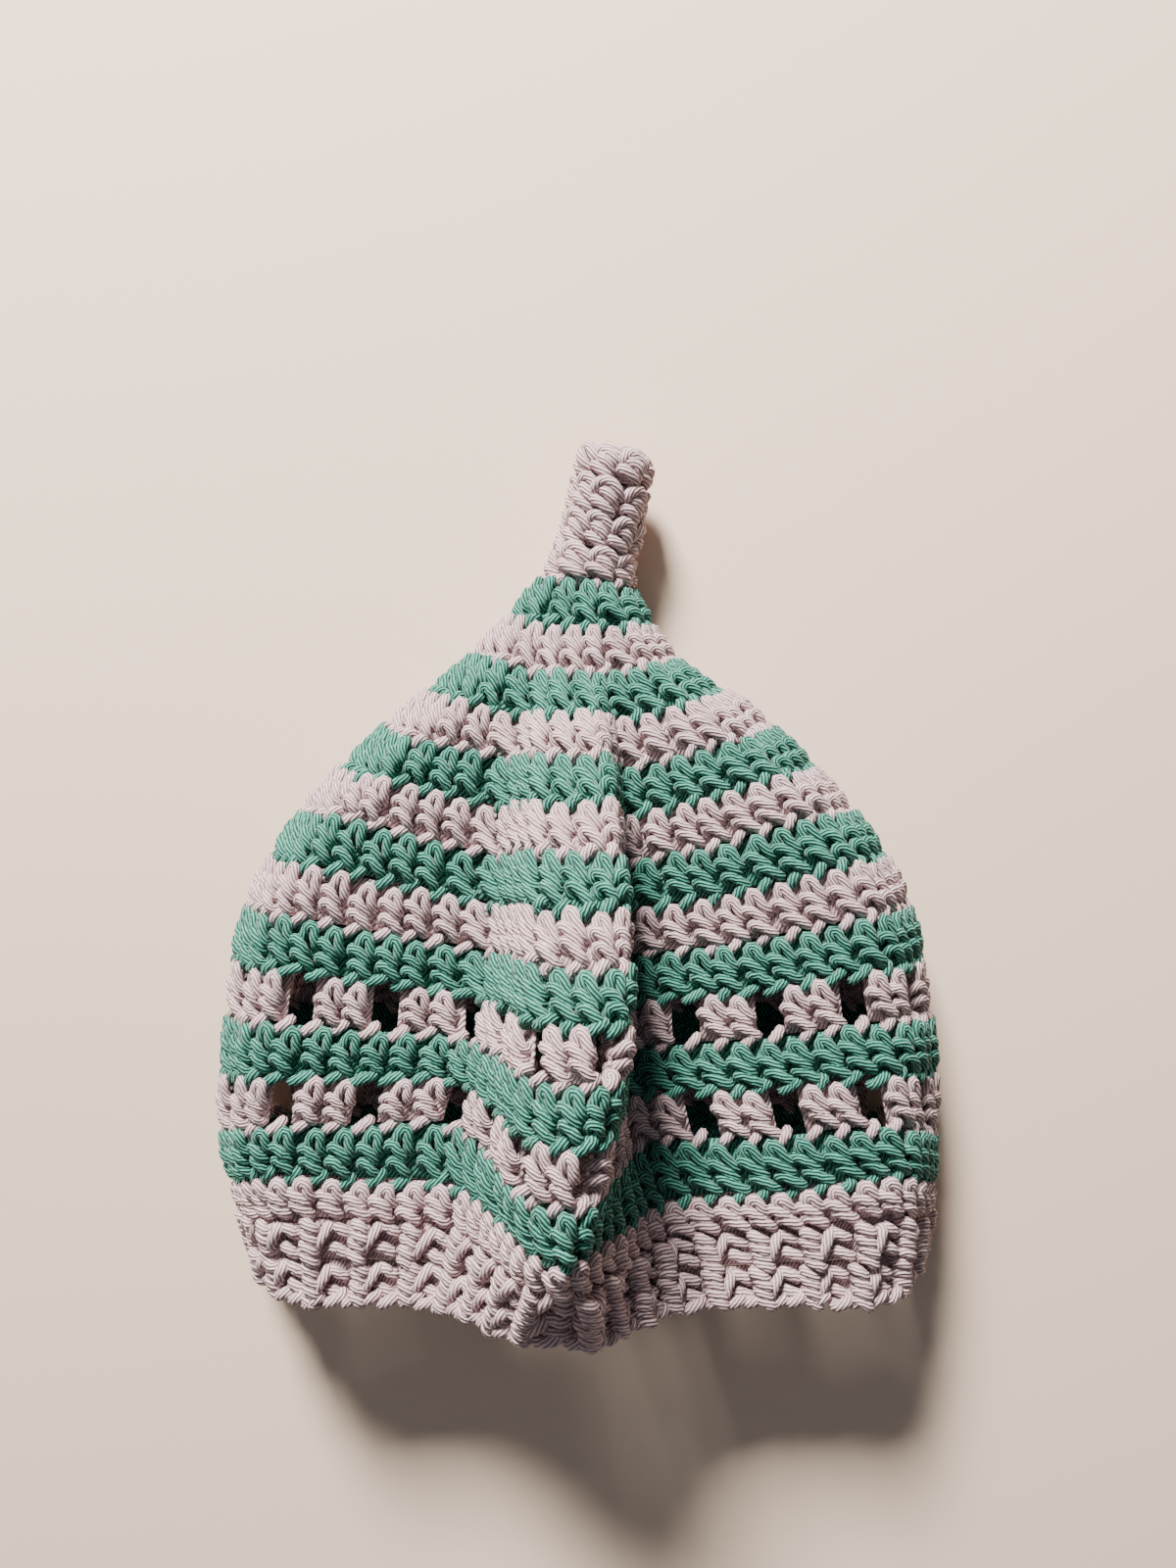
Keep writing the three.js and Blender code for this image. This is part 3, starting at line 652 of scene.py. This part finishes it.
class YarnMaterial:
    """Twisted wool-like yarn: plies with painted shade in the grooves between them, loose fibres and
    slow changes of tone.
    """

    def __init__(self, name, dark, middle, light):
        self.material = bpy.data.materials.new(name)
        self.material.use_nodes = True
        self.nodes = self.material.node_tree.nodes
        self.links = self.material.node_tree.links
        shader = self.nodes["Principled BSDF"]
        shader.inputs["Roughness"].default_value = ROUGHNESS
        shader.inputs["Sheen Weight"].default_value = SHEEN
        shader.inputs["Sheen Roughness"].default_value = SHEEN_ROUGHNESS
        shader.inputs["Specular IOR Level"].default_value = SPECULAR

        yarn_map = self.nodes.new("ShaderNodeUVMap")
        yarn_map.uv_map = YARN_MAP
        split = self.nodes.new("ShaderNodeSeparateXYZ")
        self.links.new(yarn_map.outputs["UV"], split.inputs[0])
        turned = self.calculate("ADD", split.outputs["Y"], split.outputs["X"])
        wave = self.calculate("SINE", self.calculate("MULTIPLY", turned, math.tau * PLIES))
        ply = self.calculate("POWER", self.calculate("MULTIPLY_ADD", wave, 0.5, 0.5), PLY_ROUNDNESS)
        fibres = self.noise(FIBRE_SCALE, FIBRE_DETAIL)
        blotches = self.noise(BLOTCH_SCALE, BLOTCH_DETAIL)

        # The plies paint shade into the colour, darker in the grooves between them and lighter on their
        # crowns; the fibres and blotches add the yarn's own random tone.
        shade_and_tone = self.calculate("MULTIPLY", ply, PLY_SHADE)
        shade_and_tone = self.calculate("MULTIPLY_ADD", fibres, FIBRE_TONE, shade_and_tone)
        shade_and_tone = self.calculate("MULTIPLY_ADD", blotches, BLOTCH_TONE, shade_and_tone)
        ramp = self.nodes.new("ShaderNodeValToRGB")
        self.links.new(shade_and_tone, ramp.inputs[0])
        elements = ramp.color_ramp.elements
        elements[0].position, elements[0].color = DARK_AT, linear(dark)
        elements[1].position, elements[1].color = LIGHT_AT, linear(light)
        elements.new(MIDDLE_AT).color = linear(middle)
        self.links.new(ramp.outputs[0], shader.inputs["Base Color"])

        relief = self.calculate("MULTIPLY_ADD", fibres, FIBRE_RELIEF, ply)
        bump = self.nodes.new("ShaderNodeBump")
        bump.inputs["Strength"].default_value = RELIEF_STRENGTH
        bump.inputs["Distance"].default_value = RELIEF_DEPTH
        self.links.new(relief, bump.inputs["Height"])
        self.links.new(bump.outputs["Normal"], shader.inputs["Normal"])

    def calculate(self, operation, *values):
        """The result of a math node on values or sockets."""
        made = self.nodes.new("ShaderNodeMath")
        made.operation = operation
        for socket, value in zip(made.inputs, values):
            if isinstance(value, (int, float)):
                socket.default_value = value
            else:
                self.links.new(value, socket)
        return made.outputs[0]

    def noise(self, scale, detail):
        """A noise that stays in place on the cap."""
        place = self.nodes.new("ShaderNodeTexCoord")
        made = self.nodes.new("ShaderNodeTexNoise")
        made.inputs["Scale"].default_value = scale
        made.inputs["Detail"].default_value = detail
        self.links.new(place.outputs["Object"], made.inputs["Vector"])
        return made.outputs[0]


YARNS = {name: YarnMaterial(name + "_yarn", *colours) for name, colours in YARN_COLOURS.items()}


def finish_piece(yarn, name, node_name, colour):
    """Makes a piece of the yarn that was laid, in place of its node."""
    piece = yarn.as_object(name, YARNS[colour].material)
    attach(piece, "root")
    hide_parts(node_name)


def lay_chain(yarn, below, top):
    """The chain under a round, between the peaks of the round below (its stitches, kind and turn)."""
    count, kind, turned = below
    every = np.arange(count)
    beside_hole = (every % STITCHES_IN_REPEAT != 0) & (kind == "openwork")
    yarn.start_round(count)
    yarn.lay(CAP, CHAIN, every[~beside_hole], count, turned, top, ROW_HEIGHT)
    if beside_hole.any():
        yarn.lay(CAP, CHAIN_OVER_HOLE, every[beside_hole], count, turned, top, ROW_HEIGHT)


def round_of_stitches(index, node_name, colour, count, kind, turned):
    """A round of double crochet, with a hole after each pair of stitches where it is openwork."""
    yarn = Yarn()
    bottom = BRIM_HEIGHT + index * ROW_HEIGHT
    top = bottom + ROW_HEIGHT
    stitches = np.arange(count)
    if kind == "openwork":
        stitches = stitches[stitches % STITCHES_IN_REPEAT != STITCHES_IN_REPEAT - 1]
    yarn.start_round(count)
    for strand in STITCH:
        yarn.lay(CAP, strand, stitches, count, turned, top, ROW_HEIGHT)
    yarn.lay_backs(CAP, stitches, count, turned, top, ROW_HEIGHT)
    below = ROUNDS[index - 1][2:] if index else (BRIM_STITCHES, "ribbed", BRIM_TURN)
    lay_chain(yarn, below, bottom)
    finish_piece(yarn, node_name.replace("round", "stitches"), node_name, colour)


def ribbed_brim():
    """A plain row, then two rows whose stitches stand out and sink in by turns, and the rim's chain."""
    yarn = Yarn(LOOSE_YARN_RADIUS)
    height = BRIM_ROW_HEIGHT
    every = np.arange(BRIM_STITCHES)
    ribs = every[::STITCHES_IN_RIB]
    yarn.start_round(BRIM_STITCHES)
    for strand in STITCH:
        yarn.lay(CAP, strand, every, BRIM_STITCHES, BRIM_TURN, BRIM_HEIGHT, height)
    yarn.lay_backs(CAP, every, BRIM_STITCHES, BRIM_TURN, BRIM_HEIGHT, height)
    for row in range(1, BRIM_ROWS):
        yarn.start_round(BRIM_STITCHES, LOOSENESS)
        top = BRIM_HEIGHT - row * height
        yarn.lay_backs(CAP, every, BRIM_STITCHES, BRIM_TURN, top, height, DEEP_BACK_HEIGHTS)
        for strand, down in RIB:
            yarn.lay(CAP, strand, ribs, BRIM_STITCHES, BRIM_TURN, top, height, down)
    yarn.start_round(RIM_LINKS)
    yarn.lay(CAP, RIM_LINK, np.arange(RIM_LINKS), RIM_LINKS, 0, 0, height)
    finish_piece(yarn, "stitches_brim", BRIM_NODE, "grey")


def stem():
    """Rounds of short stitches, then a few that draw in the tip, and the chain at the stem's foot."""
    yarn = Yarn(LOOSE_YARN_RADIUS)
    height = STEM_ROW_HEIGHT
    stitches = np.arange(STEM_STITCHES)
    for row, turned in enumerate(STEM_TURNS):
        top = (row + 1) * height
        yarn.start_round(STEM_STITCHES, LOOSENESS)
        for strand in STEM_STITCH:
            yarn.lay(STEM, strand, stitches, STEM_STITCHES, turned, top, height)
        yarn.lay_backs(STEM, stitches, STEM_STITCHES, turned, top, height)
    yarn.start_round(TIP_STITCHES)
    for strand in STITCH:
        yarn.lay(STEM, strand, np.arange(TIP_STITCHES), TIP_STITCHES, 0, STEM_LENGTH + height, height)
    lay_chain(yarn, ROUNDS[-1][2:], CLOTH_LENGTH)
    finish_piece(yarn, "stitches_stem", STEM_NODE, "grey")


for number, row in enumerate(ROUNDS):
    round_of_stitches(number, *row)
ribbed_brim()
stem()

# The camera is straight above, as the photograph was taken. Places are in metres from here on.
CAMERA_PLACE = (0.0025, 0.01842, 0.33)
NEAREST_SEEN = 0.01
SENSOR = 36
LENS = 27

FLOOR_SIZE = 8
FLOOR_COLOUR = (232, 208, 188)
FLOOR_ROUGHNESS = 0.8

# The lights shine at the middle of the table: the side that each one comes from, how far away it
# is, its size, its power in watts and its colour.
LIGHTS = {
    "key": ((-0.47, 1.6, 1.2), 1.3, 0.3, 67, (1.0, 0.95, 0.88)),
    "fill": ((-0.5, 0.3, 1.5), 1.6, 1.4, 2.4, (0.96, 0.97, 1.0)),
}
WORLD_COLOUR = (0.9, 0.93, 1.0, 1)
WORLD_STRENGTH = 0.1


def add_camera():
    data = bpy.data.cameras.new("camera")
    data.sensor_width = SENSOR
    data.lens = LENS
    data.clip_start = NEAREST_SEEN
    camera = bpy.data.objects.new("camera", data)
    camera.location = CAMERA_PLACE
    bpy.context.collection.objects.link(camera)
    bpy.context.scene.camera = camera


def add_floor():
    bpy.ops.mesh.primitive_plane_add(size=FLOOR_SIZE)
    floor = bpy.context.object
    floor.name = "floor"
    material = bpy.data.materials.new("floor")
    material.use_nodes = True
    shader = material.node_tree.nodes["Principled BSDF"]
    shader.inputs["Base Color"].default_value = linear(FLOOR_COLOUR)
    shader.inputs["Roughness"].default_value = FLOOR_ROUGHNESS
    floor.data.materials.append(material)


def add_light(name, direction, distance, size, power, colour):
    data = bpy.data.lights.new(name, "AREA")
    data.size = size
    data.energy = power
    data.color = colour
    light = bpy.data.objects.new(name, data)
    away = Vector(direction).normalized()
    light.location = away * distance
    light.rotation_euler = away.to_track_quat("Z", "Y").to_euler()
    bpy.context.collection.objects.link(light)


def add_world():
    world = bpy.data.worlds.new("studio")
    world.use_nodes = True
    background = world.node_tree.nodes["Background"]
    background.inputs["Color"].default_value = WORLD_COLOUR
    background.inputs["Strength"].default_value = WORLD_STRENGTH
    bpy.context.scene.world = world


add_camera()
add_floor()
for name, light in LIGHTS.items():
    add_light(name, *light)
add_world()
